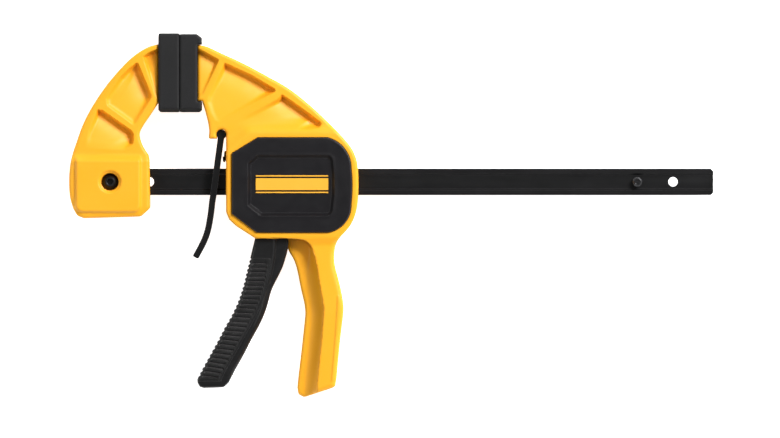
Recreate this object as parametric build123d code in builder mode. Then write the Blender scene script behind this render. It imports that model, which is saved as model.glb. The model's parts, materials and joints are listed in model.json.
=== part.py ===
from build123d import *
import os

os.makedirs("parts", exist_ok=True)

# One-handed trigger bar clamp lying on its side.
# +X runs along the bar away from the fixed jaw, +Y points from the handle to the pads,
# +Z is the thickness.  Drawing coordinates start at the jaw screw axis; OX and OY move
# them so that the frame origin is under the middle of the bounding box.
OX, OY = -180.00, 21.50

# ---- driving dimensions, millimetres ----
H = 34.0            # overall thickness
ZM = H / 2          # mid plane
BAR_H = 17.0        # bar height
BAR_T = 6.0         # bar flange thickness
WEB_T = 4.0         # bar web thickness
BAR_X0, BAR_X1 = -25.2, 386.25
HOLE_D = 6.1        # holes in the bar
END_HOLE_X = 360.5
SPARE_HOLE_X = 25.0
STOP_X = 337.6
PIN_D = 6.0
ARM_Z0, ARM_Z1 = 4.0, 30.0
BODY_Z0, BODY_Z1 = 2.0, 32.0
ARM_WEB = 10.0      # thickness of the middle wall of both arms
SCREW_D = 5.9
HEAD_D = 10.5
PIVOT = (103.7, 19.1)
PIVOT_D = 5.0
PLATE_X = 107.72    # near face of the first drive plate
PLATE_T = 3.0
SEAT_X = 151.8      # drive spring seat
LEVER_TOP = (71.2, 30.3)
LEVER_T = 4.0
HEAD_R = 3.15       # rounded head of the brake lever
SEAM_X = 44.5       # where the two pads meet
TRIG_Z0, TRIG_Z1 = 6.0, 28.0
CHAN_Z0, CHAN_Z1 = 11.5, 22.5


def at(z):
    return Plane((OX, OY, z))


def yz(x):
    return Plane(origin=(OX + x, OY, 0), x_dir=(0, 1, 0), z_dir=(1, 0, 0))


def xz(y):
    return Plane(origin=(OX, OY + y, 0), x_dir=(1, 0, 0), z_dir=(0, -1, 0))


def soften(edges, *radii):
    # rounds the edges with the first radius the shape allows
    for r in radii:
        try:
            fillet(edges, r)
            return
        except (ValueError, RuntimeError):
            continue
    print("left sharp:", len(edges), "edges")


# ---- bar: rolled steel strip with a shallow web on both sides ----
with BuildPart() as bar:
    with BuildSketch(yz(BAR_X0)):
        h, t, w = BAR_H / 2, BAR_T / 2, WEB_T / 2
        with BuildLine():
            Polyline((-h, ZM - t), (-h, ZM + t), (-h + 3.1, ZM + t), (-h + 4.1, ZM + w),
                     (h - 4.1, ZM + w), (h - 3.1, ZM + t), (h, ZM + t), (h, ZM - t),
                     (h - 3.1, ZM - t), (h - 4.1, ZM - w), (-h + 4.1, ZM - w),
                     (-h + 3.1, ZM - t), close=True)
        make_face()
    extrude(amount=BAR_X1 - BAR_X0)
    fillet(bar.edges().filter_by(Axis.X).filter_by(lambda e: abs(abs(e.center().Y - OY) - h) < 0.01), 0.8)
    with BuildSketch(at(ZM - 10)):
        for x, d in ((0, 6.4), (SPARE_HOLE_X, HOLE_D), (STOP_X, PIN_D), (END_HOLE_X, HOLE_D)):
            with Locations((x, 0)):
                Circle(d / 2)
    extrude(amount=20, mode=Mode.SUBTRACT)
    # the four end corners are knocked off
    with BuildSketch(at(ZM - 10)):
        for sx, x in ((1, BAR_X1), (-1, BAR_X0)):
            for sy in (1, -1):
                with BuildLine():
                    Polyline((x + sx, sy * (h + 1)), (x + sx, sy * (h - 1.6)), (x, sy * (h - 1.6)),
                             (x - sx * 1.6, sy * h), (x - sx * 1.6, sy * (h + 1)), close=True)
                make_face()
    extrude(amount=20, mode=Mode.SUBTRACT)

# ---- pressed pin that stops the sliding jaw at the bar end ----
with BuildPart() as bar_stop_pin:
    with BuildSketch(at(ZM - 6.5)):
        with Locations((STOP_X, 0)):
            Circle(PIN_D / 2)
    extrude(amount=13)
    chamfer(bar_stop_pin.edges().filter_by(GeomType.CIRCLE), 0.7)
    # shallow round mark left by the press on both ends
    for z, s in ((ZM + 6.51, -1), (ZM - 6.51, 1)):
        with BuildSketch(at(z)):
            with Locations((STOP_X, 0)):
                Circle(1.5)
        extrude(amount=s * 0.8, mode=Mode.SUBTRACT)

# ---- fixed jaw: foot on the bar end and a curved I-section arm ----
foot_left = [(-21.57, 25.15), (-24.2, 17.15), (-25.7, 9.79), (-26.25, 1.0), (-26.1, -5.25),
             (-25.4, -11.0), (-23.4, -17.6)]
arm_outer = [(30.9, 88.1), (26.2, 86.9), (20.5, 84.2), (13.4, 79.1), (5.76, 71.4),
             (-0.64, 63.9), (-6.4, 56.0), (-12.8, 45.8), (-17.9, 35.5), (-21.57, 25.15)]
arm_inner = [(24.51, 17.47), (21.1, 22.7), (19.2, 27.8), (18.9, 30.9), (20.2, 34.4), (24.3, 40.7),
             (29.9, 49.3)]


def fixed_outline():
    Spline(*arm_outer)
    Spline(*foot_left)
    Polyline((-23.4, -17.6), (-20.9, -21.8), (-16.6, -23.4), (19.6, -22.3), (25.6, -16.8), (25.3, 13.95), (24.51, 17.47))
    Spline(*arm_inner)
    Polyline((29.9, 49.3), (30.9, 50.9), (30.9, 88.1))


with BuildPart() as fixed_jaw:
    with BuildSketch(at(ARM_Z0)):
        with BuildLine():
            fixed_outline()
        make_face()
    extrude(amount=ARM_Z1 - ARM_Z0)
    # round the rim edges before the pockets go in
    soften(fixed_jaw.edges().filter_by(lambda e: (abs(e.center().Z - ARM_Z0) < 0.01 or abs(e.center().Z - ARM_Z1) < 0.01)
                                       and e.center().Y - OY > 45 and e.length > 60), 1.1, 0.6)
    # thicker foot block
    for z, amount in ((ARM_Z1, BODY_Z1 - ARM_Z1), (ARM_Z0, BODY_Z0 - ARM_Z0)):
        with BuildSketch(at(z)):
            with BuildLine():
                fixed_outline()
            make_face()
            with Locations((0, -4)):
                Rectangle(70, 40, mode=Mode.INTERSECT)
        extrude(amount=amount)
    soften(fixed_jaw.edges().filter_by(lambda e: (abs(e.center().Z - BODY_Z0) < 0.01 or abs(e.center().Z - BODY_Z1) < 0.01)
                                       and e.center().Y - OY < 15.9), 0.9, 0.5)
    # pads of material that bring the foot sides flush with the covers
    for z, s in ((BODY_Z1, 1), (BODY_Z0, -1)):
        with BuildSketch(at(z)) as raised:
            with BuildLine():
                Polyline((-22.2, 13.3), (16.8, 13.3), (16.8, -18.9), (11.5, -19.9), (-17.5, -20.9), (-21.2, -17.0), close=True)
            make_face()
            fillet(raised.vertices(), 1.6)
        extrude(amount=s * 2.0)
        soften(fixed_jaw.faces().sort_by(Axis.Z)[-1 if s > 0 else 0].edges(), 1.2, 0.8)
    # arm pockets on both sides, leaving the middle wall and two cross ribs
    for z, s in ((ARM_Z1, -1), (ARM_Z0, 1)):
        with BuildSketch(at(z)) as pa:
            with BuildLine():
                Polyline((20.6, 80.4), (27.6, 83.9), (28.3, 83.0), (28.3, 62.8), close=True)
            make_face()
            fillet(pa.vertices().sort_by(Axis.Y)[0], 0.8)
        extrude(amount=s * (13 - ARM_WEB / 2), mode=Mode.SUBTRACT)
        with BuildSketch(at(z)) as pb:
            with BuildLine():
                Spline((17.6, 78.2), (7.3, 69.2), (-3.2, 53.6))
                Polyline((-3.2, 53.6), (-5.9, 48.6), (14.2, 37.4), (24.6, 51.9), (26.6, 56.9), (17.6, 78.2))
            make_face()
            fillet(pb.vertices(), 1.5)
        extrude(amount=s * (13 - ARM_WEB / 2), mode=Mode.SUBTRACT)
        with BuildSketch(at(z)) as pc:
            with BuildLine():
                Polyline((-8.6, 44.6), (12.4, 32.4), (14.2, 27.0), (15.2, 23.0), (-17.2, 23.0), (-13.0, 35.2), close=True)
            make_face()
            fillet(pc.vertices(), 1.5)
        extrude(amount=s * (13 - ARM_WEB / 2), mode=Mode.SUBTRACT)
        # ramp from the lowest pocket up to the foot side
        with BuildSketch(yz(-19.2)) as ramp:
            zt = BODY_Z1 + 0.01 if s < 0 else BODY_Z0 - 0.01
            with BuildLine():
                Polyline((24.0, ZM - s * ARM_WEB / 2), (24.0, zt), (14.2, zt), (22.2, ZM - s * ARM_WEB / 2), close=True)
            make_face()
        extrude(amount=34.6, mode=Mode.SUBTRACT)
    # lug that the soft pad is pushed on to
    with BuildSketch(yz(30.9)):
        with Locations((70.5, ZM)):
            RectangleRounded(30, 14, 2)
    extrude(amount=3.0)
    with BuildSketch(yz(33.9)):
        with Locations((70.5, ZM)):
            RectangleRounded(34, 18, 3)
    extrude(amount=2.4)
    # slot for the bar, screw hole, counterbore and nut pocket
    with BuildSketch(yz(-30)):
        with Locations((0, ZM)):
            Rectangle(BAR_H + 0.1, BAR_T + 0.1)
    extrude(amount=60, mode=Mode.SUBTRACT)
    with BuildSketch(at(-1)):
        Circle(3.2)
    extrude(amount=H + 2, mode=Mode.SUBTRACT)
    with BuildSketch(at(H + 0.01)):
        Circle(6.1)
    extrude(amount=-5.51, mode=Mode.SUBTRACT)
    with BuildSketch(at(-0.01)):
        RegularPolygon(5.1, 6, major_radius=False)
    extrude(amount=7.01, mode=Mode.SUBTRACT)

# ---- jaw screw: button head with hex socket ----
with BuildPart() as jaw_screw:
    with BuildSketch(Plane(origin=(OX, OY, 0), x_dir=(1, 0, 0), z_dir=(0, -1, 0))):
        with BuildLine():
            Polyline((0, 2.6), (SCREW_D / 2 - 0.7, 2.6), (SCREW_D / 2, 3.3), (SCREW_D / 2, 28.5), (HEAD_D / 2, 28.5), (HEAD_D / 2, 29.2))
            ThreePointArc((HEAD_D / 2, 29.2), (3.9, 30.9), (2.9, 31.8))
            Polyline((2.9, 31.8), (0, 31.8), (0, 2.6))
        make_face()
    revolve(axis=Axis((OX, OY, 0), (0, 0, 1)))
    with BuildSketch(at(31.81)):
        RegularPolygon(2.0, 6, major_radius=False)
    extrude(amount=-2.2, mode=Mode.SUBTRACT)

with BuildPart() as jaw_nut:
    with BuildSketch(at(1.9)):
        RegularPolygon(5.0, 6, major_radius=False)
        Circle(SCREW_D / 2 + 0.02, mode=Mode.SUBTRACT)
    extrude(amount=5.0)

# ---- soft pads ----
PAD_Z0, PAD_Z1 = 2.0, 32.0
with BuildPart() as fixed_pad:
    with BuildSketch(at(PAD_Z0)) as fp:
        with BuildLine():
            Polyline((30.92, 95.1), (SEAM_X - 0.05, 95.1), (SEAM_X - 0.05, 44.6), (32.4, 44.6), (30.92, 46.2), close=True)
        make_face()
        fillet(fp.vertices(), 1.0)
    extrude(amount=PAD_Z1 - PAD_Z0)
    soften(fixed_pad.faces().sort_by(Axis.Z)[-1].edges(), 1.0, 0.6)
    soften(fixed_pad.faces().sort_by(Axis.Z)[0].edges(), 1.0, 0.6)
    with BuildSketch(yz(30.9)):
        with Locations((70.5, ZM)):
            RectangleRounded(30.2, 14.2, 2.1)
    extrude(amount=3.1, mode=Mode.SUBTRACT)
    with BuildSketch(yz(33.8)):
        with Locations((70.5, ZM)):
            RectangleRounded(34.2, 18.2, 3.1)
    extrude(amount=2.6, mode=Mode.SUBTRACT)

with BuildPart() as movable_pad:
    with BuildSketch(at(PAD_Z0)) as mp:
        with BuildLine():
            Polyline((SEAM_X + 0.05, 94.6), (56.2, 94.6), (58.7, 93.0), (58.7, 87.85), (56.0, 87.85),
                     (56.0, 51.55), (58.7, 51.55), (58.7, 46.0), (57.2, 44.6), (SEAM_X + 0.05, 44.6), close=True)
        make_face()
        fillet(mp.vertices().filter_by(lambda v: v.X < 45 or v.Y > 94 or v.Y < 45), 1.0)
    extrude(amount=PAD_Z1 - PAD_Z0)
    soften(movable_pad.faces().sort_by(Axis.Z)[-1].edges().filter_by(lambda e: e.center().X < OX + 55.5 or abs(e.center().Y - OY - 69) > 22), 1.0, 0.5)
    soften(movable_pad.faces().sort_by(Axis.Z)[0].edges().filter_by(lambda e: e.center().X < OX + 55.5 or abs(e.center().Y - OY - 69) > 22), 1.0, 0.5)
    with BuildSketch(yz(50.0)):
        with Locations((70.0, ZM)):
            RectangleRounded(34.2, 18.2, 3.1)
    extrude(amount=2.7, mode=Mode.SUBTRACT)
    with BuildSketch(yz(52.5)):
        with Locations((70.0, ZM)):
            RectangleRounded(30.2, 14.2, 2.1)
    extrude(amount=4.0, mode=Mode.SUBTRACT)

# ---- cover outline, shared by the covers and the seats in the body ----


def cover_outline():
    Polyline((139.2, 28.4), (94.5, 28.4), (77.9, 18.2), (77.9, -20.4), (94.0, -32.5), (139.5, -32.5))
    ThreePointArc((139.5, -32.5), (149.6, -27.2), (154.3, -15.0))
    ThreePointArc((154.3, -15.0), (155.0, -3.0), (154.4, 9.0))
    ThreePointArc((154.4, 9.0), (149.2, 22.4), (139.2, 28.4))


def cover_inner():
    Polyline((139.2, 17.6), (95.4, 17.6), (87.7, 13.4), (87.7, -18.2), (96.4, -22.8), (139.6, -22.8))
    ThreePointArc((139.6, -22.8), (144.6, -2.0), (139.2, 17.6))


# ---- movable jaw: arm, mechanism housing and handle in one moulding ----
top_curve = [(56.0, 87.7), (61.4, 86.7), (67.2, 84.2), (83.8, 76.5), (103.0, 66.3), (112.0, 61.2),
             (119.4, 56.0), (128.6, 48.4), (139.5, 38.2), (149.4, 28.0), (153.6, 22.9), (156.5, 17.8),
             (158.3, 11.4), (158.9, 4.0), (158.9, -7.8), (158.4, -14.2), (157.1, -20.6), (153.6, -28.3),
             (149.1, -33.6), (146.0, -37.3), (144.2, -41.7), (143.5, -47.5), (144.0, -53.9), (145.6, -60.3),
             (147.4, -67.3), (148.9, -75.0), (149.5, -80.2), (149.2, -85.9), (147.9, -96.8), (146.3, -112.1),
             (145.0, -126.2)]
strap_edge = [(116.5, -36.5), (119.5, -36.7), (125.4, -38.6), (129.9, -44.9), (133.8, -62.8), (136.0, -75.6), (136.8, -81.4),
              (136.5, -87.2), (135.4, -101.2), (134.1, -114.0), (132.6, -130.0)]
web_edge = [(115.4, -36.6), (115.4, -43.0), (117.3, -48.8), (119.7, -56.4), (122.3, -69.2), (124.3, -77.9), (124.9, -83.3),
            (124.4, -90.4), (122.9, -104.4), (121.3, -117.9), (120.2, -127.6), (119.8, -131.8)]

def jaw_outline():
    Spline(*top_curve)
    Polyline((145.0, -126.2), (144.3, -130.6), (142.4, -132.0), (132.9, -135.2), (132.6, -130.0))
    Spline(*reversed(strap_edge))
    Polyline((116.5, -36.5), (93.4, -36.6), (80.6, -28.3), (76.2, -24.1), (74.24, -19.3), (74.24, 27.7), (63.1, 27.7), (63.5, 32.5), (62.7, 38.3), (60.5, 46.6), (59.2, 50.6), (58.95, 51.7), (56.0, 51.7), (56.0, 87.7))


with BuildPart() as movable_jaw:
    # silhouette of arm and strap at arm width
    with BuildSketch(at(ARM_Z0)):
        with BuildLine():
            jaw_outline()
        make_face()
    extrude(amount=ARM_Z1 - ARM_Z0)
    soften(movable_jaw.edges().filter_by(lambda e: (abs(e.center().Z - ARM_Z0) < 0.01 or abs(e.center().Z - ARM_Z1) < 0.01)
                                         and e.length > 150), 1.4, 0.8)
    # thicker housing round the mechanism
    for z, amount in ((ARM_Z1, BODY_Z1 - ARM_Z1), (ARM_Z0, BODY_Z0 - ARM_Z0)):
        with BuildSketch(at(z)):
            with BuildLine():
                jaw_outline()
            make_face()
            with BuildLine():
                Polyline((70.0, 19.5), (88.2, 31.9), (165.0, 31.9), (165.0, -36.55), (70.0, -36.55), close=True)
            make_face(mode=Mode.INTERSECT)
        extrude(amount=amount)
    # arm pockets on both sides
    for z, s in ((ARM_Z1, -1), (ARM_Z0, 1)):
        with BuildSketch(at(z)) as p0:
            with BuildLine():
                Polyline((58.9, 84.2), (61.5, 83.7), (67.0, 80.6), (58.9, 63.2), close=True)
            make_face()
            fillet(p0.vertices().sort_by(Axis.X)[-1], 1.0)
        extrude(amount=s * (13 - ARM_WEB / 2), mode=Mode.SUBTRACT)
        with BuildSketch(at(z)) as p1:
            with BuildLine():
                Polyline((72.2, 78.2), (89.5, 69.6), (107.4, 58.8), (77.0, 39.8), (70.5, 40.0), (66.0, 45.0), (61.3, 54.6), close=True)
            make_face()
            fillet(p1.vertices(), 1.6)
        extrude(amount=s * (13 - ARM_WEB / 2), mode=Mode.SUBTRACT)
        with BuildSketch(at(z)) as p2:
            with BuildLine():
                Polyline((111.8, 56.4), (125.0, 46.6), (135.6, 36.6), (134.2, 34.2), (84.0, 34.2), (83.0, 37.2), close=True)
            make_face()
            fillet(p2.vertices(), 1.3)
        extrude(amount=s * (13 - ARM_WEB / 2), mode=Mode.SUBTRACT)
    # handle web in the middle plane
    with BuildSketch(at(ZM - 4)):
        with BuildLine():
            Spline(*web_edge)
            Polyline((119.8, -131.8), (120.6, -135.0), (122.4, -137.2), (124.6, -138.1))
            Polyline((124.6, -138.1), (133.2, -135.2), (138.0, -120.0))
            Polyline((138.0, -120.0), (139.0, -82.0), (134.0, -50.0), (130.0, -30.0), (115.4, -30.0), (115.4, -36.6))
        make_face()
    extrude(amount=8)
    # mechanism cavity, open on both sides, and the two cover seats
    with BuildSketch(at(BODY_Z0 - 1)) as cav:
        with BuildLine():
            cover_outline()
        make_face()
        offset(amount=-1.3)
    extrude(amount=H, mode=Mode.SUBTRACT)
    for z, s in ((BODY_Z1 + 0.01, -1), (BODY_Z0 - 0.01, 1)):
        with BuildSketch(at(z)) as seat:
            with BuildLine():
                cover_outline()
            make_face()
            offset(amount=0.15)
        extrude(amount=s * 2.61, mode=Mode.SUBTRACT)
    # spring seat wall, bar guide and brake spring boss inside the cavity
    with BuildSketch(at(4.65)):
        with Locations((153.2, 0)):
            Rectangle(2.8, 27)
        with Locations((80.6, -0.5)):
            Rectangle(5.8, 27)
        with Locations((81.0, 15.9)):
            Rectangle(7.0, 12)
    extrude(amount=24.7)
    # gap in the floor of the housing for the trigger to swing through
    with BuildSketch(at(5.0)):
        with BuildLine():
            Polyline((92.1, -37.5), (92.1, -30.0), (115.4, -30.0), (115.4, -37.5), close=True)
        make_face()
    extrude(amount=24, mode=Mode.SUBTRACT)
    for z in (5.0, ZM + 4.0):
        with BuildSketch(at(z)):
            with BuildLine():
                Polyline((115.3, -37.0), (115.3, -30.0), (129.0, -30.0), (129.0, -38.0), (125.4, -38.6), (119.5, -36.8), close=True)
            make_face()
        extrude(amount=8.0, mode=Mode.SUBTRACT)
    for z in (5.0, ZM + 4.0):
        with BuildSketch(at(z)):
            with BuildLine():
                Polyline((119.0, -36.0), (129.2, -36.0), (128.6, -42.0), (125.2, -38.7), (119.5, -36.9), close=True)
            make_face()
        extrude(amount=8.0, mode=Mode.SUBTRACT)
    # round notch that the head of the brake lever rocks in
    with BuildSketch(at(BODY_Z0 - 1)):
        with Locations(LEVER_TOP):
            Circle(HEAD_R + 0.07)
        with Locations((71.4, 26.8)):
            Rectangle(5.9, 5.6)
    extrude(amount=H, mode=Mode.SUBTRACT)
    # bar passage
    with BuildSketch(yz(70)):
        with Locations((0, ZM)):
            Rectangle(BAR_H + 0.3, BAR_T + 0.3)
    extrude(amount=95, mode=Mode.SUBTRACT)
    # blind hole for the brake spring
    with BuildSketch(yz(74.0)):
        with Locations((16.2, ZM)):
            Circle(4.3)
    extrude(amount=7.5, mode=Mode.SUBTRACT)
    # lug for the soft pad
    with BuildSketch(yz(56.0)):
        with Locations((70.0, ZM)):
            RectangleRounded(30, 14, 2)
    extrude(amount=-3.4)
    with BuildSketch(yz(52.6)):
        with Locations((70.0, ZM)):
            RectangleRounded(34, 18, 3)
    extrude(amount=-2.5)

# ---- covers: outer ring, sunken middle, socket for the trigger pin ----
with BuildPart() as front_cover:
    with BuildSketch(at(29.4)):
        with BuildLine():
            cover_outline()
        make_face()
    extrude(amount=H - 29.4)
    soften(front_cover.faces().sort_by(Axis.Z)[-1].edges(), 0.7)
    with BuildSketch(at(H)) as fci:
        with BuildLine():
            cover_inner()
        make_face()
        fillet(fci.vertices(), 1.5)
    extrude(amount=-2.6, taper=30, mode=Mode.SUBTRACT)
    with BuildSketch(at(29.4)):
        with Locations(PIVOT):
            Circle(5.6)
    extrude(amount=-1.1)
    with BuildSketch(at(28.0)):
        with Locations(PIVOT):
            Circle(PIVOT_D / 2 + 0.03)
    extrude(amount=2.8, mode=Mode.SUBTRACT)

with BuildPart() as back_cover:
    mirror(front_cover.part, about=Plane.XY.offset(ZM))

# ---- plain badges glued into the sunken middles ----
with BuildPart() as front_badge:
    with BuildSketch(at(31.4)):
        with Locations((116.5, -1.5)):
            RectangleRounded(46.4, 11.4, 0.8)
    extrude(amount=0.7)
with BuildPart() as back_badge:
    with BuildSketch(at(1.9)):
        with Locations((116.5, -1.5)):
            RectangleRounded(46.4, 11.4, 0.8)
    extrude(amount=0.7)

# ---- trigger: fork round the bar, open channel behind the grip ----
trig_left = [(92.6, -36.6), (90.9, -43.7), (89.0, -51.3), (87.0, -59.0), (85.1, -66.7), (83.5, -71.8), (81.7, -76.9),
             (79.4, -82.0), (76.8, -87.2), (73.8, -92.3), (69.8, -100.0), (65.6, -107.7), (61.4, -115.3), (57.3, -123.0), (55.8, -126.2)]
trig_right = [(114.3, -37.9), (113.6, -43.7), (112.3, -48.8), (110.7, -53.9), (108.4, -59.0), (105.8, -64.1), (103.4, -69.3),
              (101.9, -74.4), (100.5, -79.5), (98.8, -84.6), (96.6, -89.7), (93.9, -94.9), (89.7, -102.5), (85.8, -110.2),
              (81.5, -117.9), (77.4, -125.6), (75.8, -128.8)]
border = [(101.3, -48.8), (100.4, -58.0), (98.5, -67.0), (94.2, -80.0), (88.2, -92.0), (80.2, -106.4), (71.6, -122.0), (69.4, -126.2)]
grip_left = [(x, y) for x, y in trig_left if y < -49]


def grip_area(dx):
    pts = [(89.6 + dx, -48.8)] + [(x + dx, y) for x, y in grip_left]
    Spline(*pts)
    Polyline(pts[-1], (56.6 + dx, -128.6 + dx), (68.0, -128.6 + dx), border[-1])
    Spline(*reversed(border))
    Line(border[0], pts[0])


with BuildPart() as trigger:
    with BuildSketch(at(TRIG_Z0)):
        with BuildLine():
            Spline(*trig_left)
            Polyline((55.8, -126.2), (55.9, -128.6), (57.4, -131.2), (60.0, -132.0), (72.8, -131.6), (75.8, -128.8))
            Spline(*reversed(trig_right))
            Polyline((114.3, -37.9), (111.6, -19.0), (104.5, -15.5), (103.6, -14.2), (104.2, -5.0), (105.9, -3.33))
            ThreePointArc((105.9, -3.33), (107.7, 0.0), (106.6, 2.755))
            Polyline((106.6, 2.755), (106.6, 11.8), (108.9, 16.6))
            ThreePointArc((108.9, 16.6), (103.7, 24.87), (97.95, 18.6))
            Polyline((97.95, 18.6), (94.6, -20.0), (92.6, -36.6))
        make_face()
    extrude(amount=TRIG_Z1 - TRIG_Z0)
    soften(trigger.edges().filter_by(lambda e: (abs(e.center().Z - TRIG_Z0) < 0.01 or abs(e.center().Z - TRIG_Z1) < 0.01) and e.center().Y - OY < -60 and e.center().X - OX > 72), 1.2, 0.7)
    # channel open towards the handle and fork gap round the bar
    with BuildSketch(at(CHAN_Z0)):
        with BuildLine():
            chan = [(x + 4.6, y + 0.5) for x, y in trig_left]
            Spline(*chan)
            Polyline(chan[-1], (63.0, -127.6), (80.0, -127.6), (120.0, -60.0), (120.0, -14.0), (96.0, -14.0), chan[0])
        make_face()
    extrude(amount=CHAN_Z1 - CHAN_Z0, mode=Mode.SUBTRACT)
    with BuildSketch(at(CHAN_Z0)):
        with Locations((103, 8.0)):
            Rectangle(30, 44.1)
    extrude(amount=CHAN_Z1 - CHAN_Z0, mode=Mode.SUBTRACT)
    # pin bore
    with BuildSketch(at(0)):
        with Locations(PIVOT):
            Circle(PIVOT_D / 2 + 0.05)
    extrude(amount=H, mode=Mode.SUBTRACT)
    # shallow recess for the soft grip: outer skin off, core kept
    with BuildSketch(at(TRIG_Z0 - 0.1)):
        with BuildLine():
            grip_area(-0.6)
        make_face()
    extrude(amount=1.5, mode=Mode.SUBTRACT)
    with BuildSketch(at(TRIG_Z1 + 0.1)):
        with BuildLine():
            grip_area(-0.6)
        make_face()
    extrude(amount=-1.5, mode=Mode.SUBTRACT)
    with BuildSketch(at(TRIG_Z0 - 0.1)):
        with BuildLine():
            grip_area(-0.6)
        make_face()
        with BuildLine():
            grip_area(1.8)
        make_face(mode=Mode.SUBTRACT)
    extrude(amount=TRIG_Z1 - TRIG_Z0 + 0.2, mode=Mode.SUBTRACT)

# ---- soft ribbed grip moulded over the trigger ----
RIB_PITCH = 2.86
with BuildPart() as trigger_grip:
    with BuildSketch(at(TRIG_Z0)):
        with BuildLine():
            grip_area(0.0)
        make_face()
    extrude(amount=TRIG_Z1 - TRIG_Z0)
    with BuildSketch(at(TRIG_Z0)):
        for k in range(27):
            with Locations((80, -50.9 - RIB_PITCH * k)):
                Rectangle(80, 1.7)
    extrude(amount=TRIG_Z1 - TRIG_Z0, mode=Mode.INTERSECT)
    with BuildSketch(at(TRIG_Z0 + 0.7)):
        with BuildLine():
            grip_area(0.7)
        make_face()
    extrude(amount=TRIG_Z1 - TRIG_Z0 - 1.4)
    with BuildSketch(at(TRIG_Z0 + 1.4)):
        with BuildLine():
            grip_area(1.8)
        make_face()
    extrude(amount=TRIG_Z1 - TRIG_Z0 - 2.8, mode=Mode.SUBTRACT)

with BuildPart() as trigger_pin:
    with BuildSketch(at(3.3)):
        with Locations(PIVOT):
            Circle(PIVOT_D / 2)
    extrude(amount=H - 6.6)
    chamfer(trigger_pin.edges().filter_by(GeomType.CIRCLE), 0.4)

# ---- drive plates, pushed along the bar by the trigger fork ----
with BuildPart() as drive_plate_front:
    with BuildSketch(yz(PLATE_X)):
        with Locations((-0.6, ZM)):
            RectangleRounded(25.8, 20, 1.5)
        with Locations((0, ZM)):
            Rectangle(BAR_H + 0.5, BAR_T + 0.4, mode=Mode.SUBTRACT)
    extrude(amount=PLATE_T)
with BuildPart() as drive_plate_rear:
    with BuildSketch(yz(PLATE_X + PLATE_T + 0.04)):
        with Locations((-0.6, ZM)):
            RectangleRounded(25.8, 20, 1.5)
        with Locations((0, ZM)):
            Rectangle(BAR_H + 0.5, BAR_T + 0.4, mode=Mode.SUBTRACT)
    extrude(amount=PLATE_T)

# ---- drive spring round the bar ----
SPR_X0 = PLATE_X + 2 * PLATE_T + 0.04
with BuildPart() as drive_spring:
    with BuildLine() as coil:
        Helix(pitch=4.6, height=SEAT_X - SPR_X0 - 1.9, radius=10.3, center=(OX + SPR_X0 + 0.95, OY, ZM), direction=(1, 0, 0))
    with BuildSketch(Plane(origin=coil.line @ 0, z_dir=coil.line % 0)):
        Circle(0.8)
    sweep()

# ---- brake lever: tilted plate gripping the bar, tab below for release ----
LX, LY = LEVER_TOP
TILT = 7.63
tab = [(65.87, -9.73), (65.12, -14.85), (64.54, -19.97), (63.75, -25.09), (62.72, -30.21), (61.14, -35.33), (58.85, -40.45),
       (56.15, -45.57), (54.55, -48.5)]
lever_frame = Plane(origin=(OX + LX, OY + LY, 0), x_dir=Vector(1, 0, 0).rotate(Axis.Z, -TILT), z_dir=(0, 0, 1))
with BuildPart() as brake_lever:
    # side profile: rounded head in the notch, straight plate, tab curving away below the bar
    with BuildSketch(at(ZM - 9)) as lv:
        run = [Vector(x, y) for x, y in tab]
        left, right = [], []
        for k, p in enumerate(run):
            t = (run[min(k + 1, len(run) - 1)] - run[max(k - 1, 0)]).normalized()
            n = Vector(-t.Y, t.X) * (LEVER_T / 2)
            right.append((p + n).to_tuple()[:2])
            left.append((p - n).to_tuple()[:2])
        c = Vector(0, 1).rotate(Axis.Z, -TILT)
        u = Vector(1, 0).rotate(Axis.Z, -TILT)
        top = Vector(LX, LY)
        neck = [(top + u * sx * 2.0 - c * 2.434).to_tuple()[:2] for sx in (1, -1)]
        crown = (top + c * HEAD_R).to_tuple()[:2]
        with BuildLine():
            ThreePointArc(neck[0], crown, neck[1])
            Line(neck[1], left[0])
            Spline(*left)
            Line(left[-1], right[-1])
            Spline(*reversed(right))
            Line(right[0], neck[0])
        make_face()
    extrude(amount=18)
    # window round the bar
    with BuildSketch(Plane(origin=(OX + LX, OY + LY, ZM), x_dir=Vector(0, 1, 0).rotate(Axis.Z, -TILT), z_dir=Vector(1, 0, 0).rotate(Axis.Z, -TILT)).offset(-8)):
        with Locations((-30.57, 0)):
            Rectangle(17.85, 6.5)
    extrude(amount=16, mode=Mode.SUBTRACT)
    chamfer(brake_lever.edges().filter_by(Axis.Z).sort_by(Axis.Y)[:2], 0.6)

with BuildPart() as brake_spring:
    with BuildLine() as coil2:
        Helix(pitch=1.6, height=8.0, radius=3.1, center=(OX + 72.55, OY + 16.2, ZM), direction=(1, 0, 0))
    with BuildSketch(Plane(origin=coil2.line @ 0, z_dir=coil2.line % 0)):
        Circle(0.6)
    sweep()

NODES = {"bar": bar, "bar_stop_pin": bar_stop_pin, "fixed_jaw": fixed_jaw, "jaw_screw": jaw_screw, "jaw_nut": jaw_nut,
         "fixed_pad": fixed_pad, "movable_jaw": movable_jaw, "movable_pad": movable_pad, "front_cover": front_cover,
         "back_cover": back_cover, "front_badge": front_badge, "back_badge": back_badge, "trigger": trigger,
         "trigger_grip": trigger_grip, "trigger_pin": trigger_pin, "drive_plate_front": drive_plate_front,
         "drive_plate_rear": drive_plate_rear, "drive_spring": drive_spring, "brake_lever": brake_lever,
         "brake_spring": brake_spring}
for name, built in NODES.items():
    built.part.label = name
    export_step(built.part, f"parts/{name}.step")
    bb = built.part.bounding_box()
    print(name, len(built.part.solids()), round(built.part.volume, 1), [round(v, 2) for v in (bb.min.X, bb.min.Y, bb.min.Z, bb.max.X, bb.max.Y, bb.max.Z)])
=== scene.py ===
import bpy, bmesh, json, math
import numpy as np
from mathutils import Vector, Matrix
from mathutils.geometry import delaunay_2d_cdt

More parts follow.
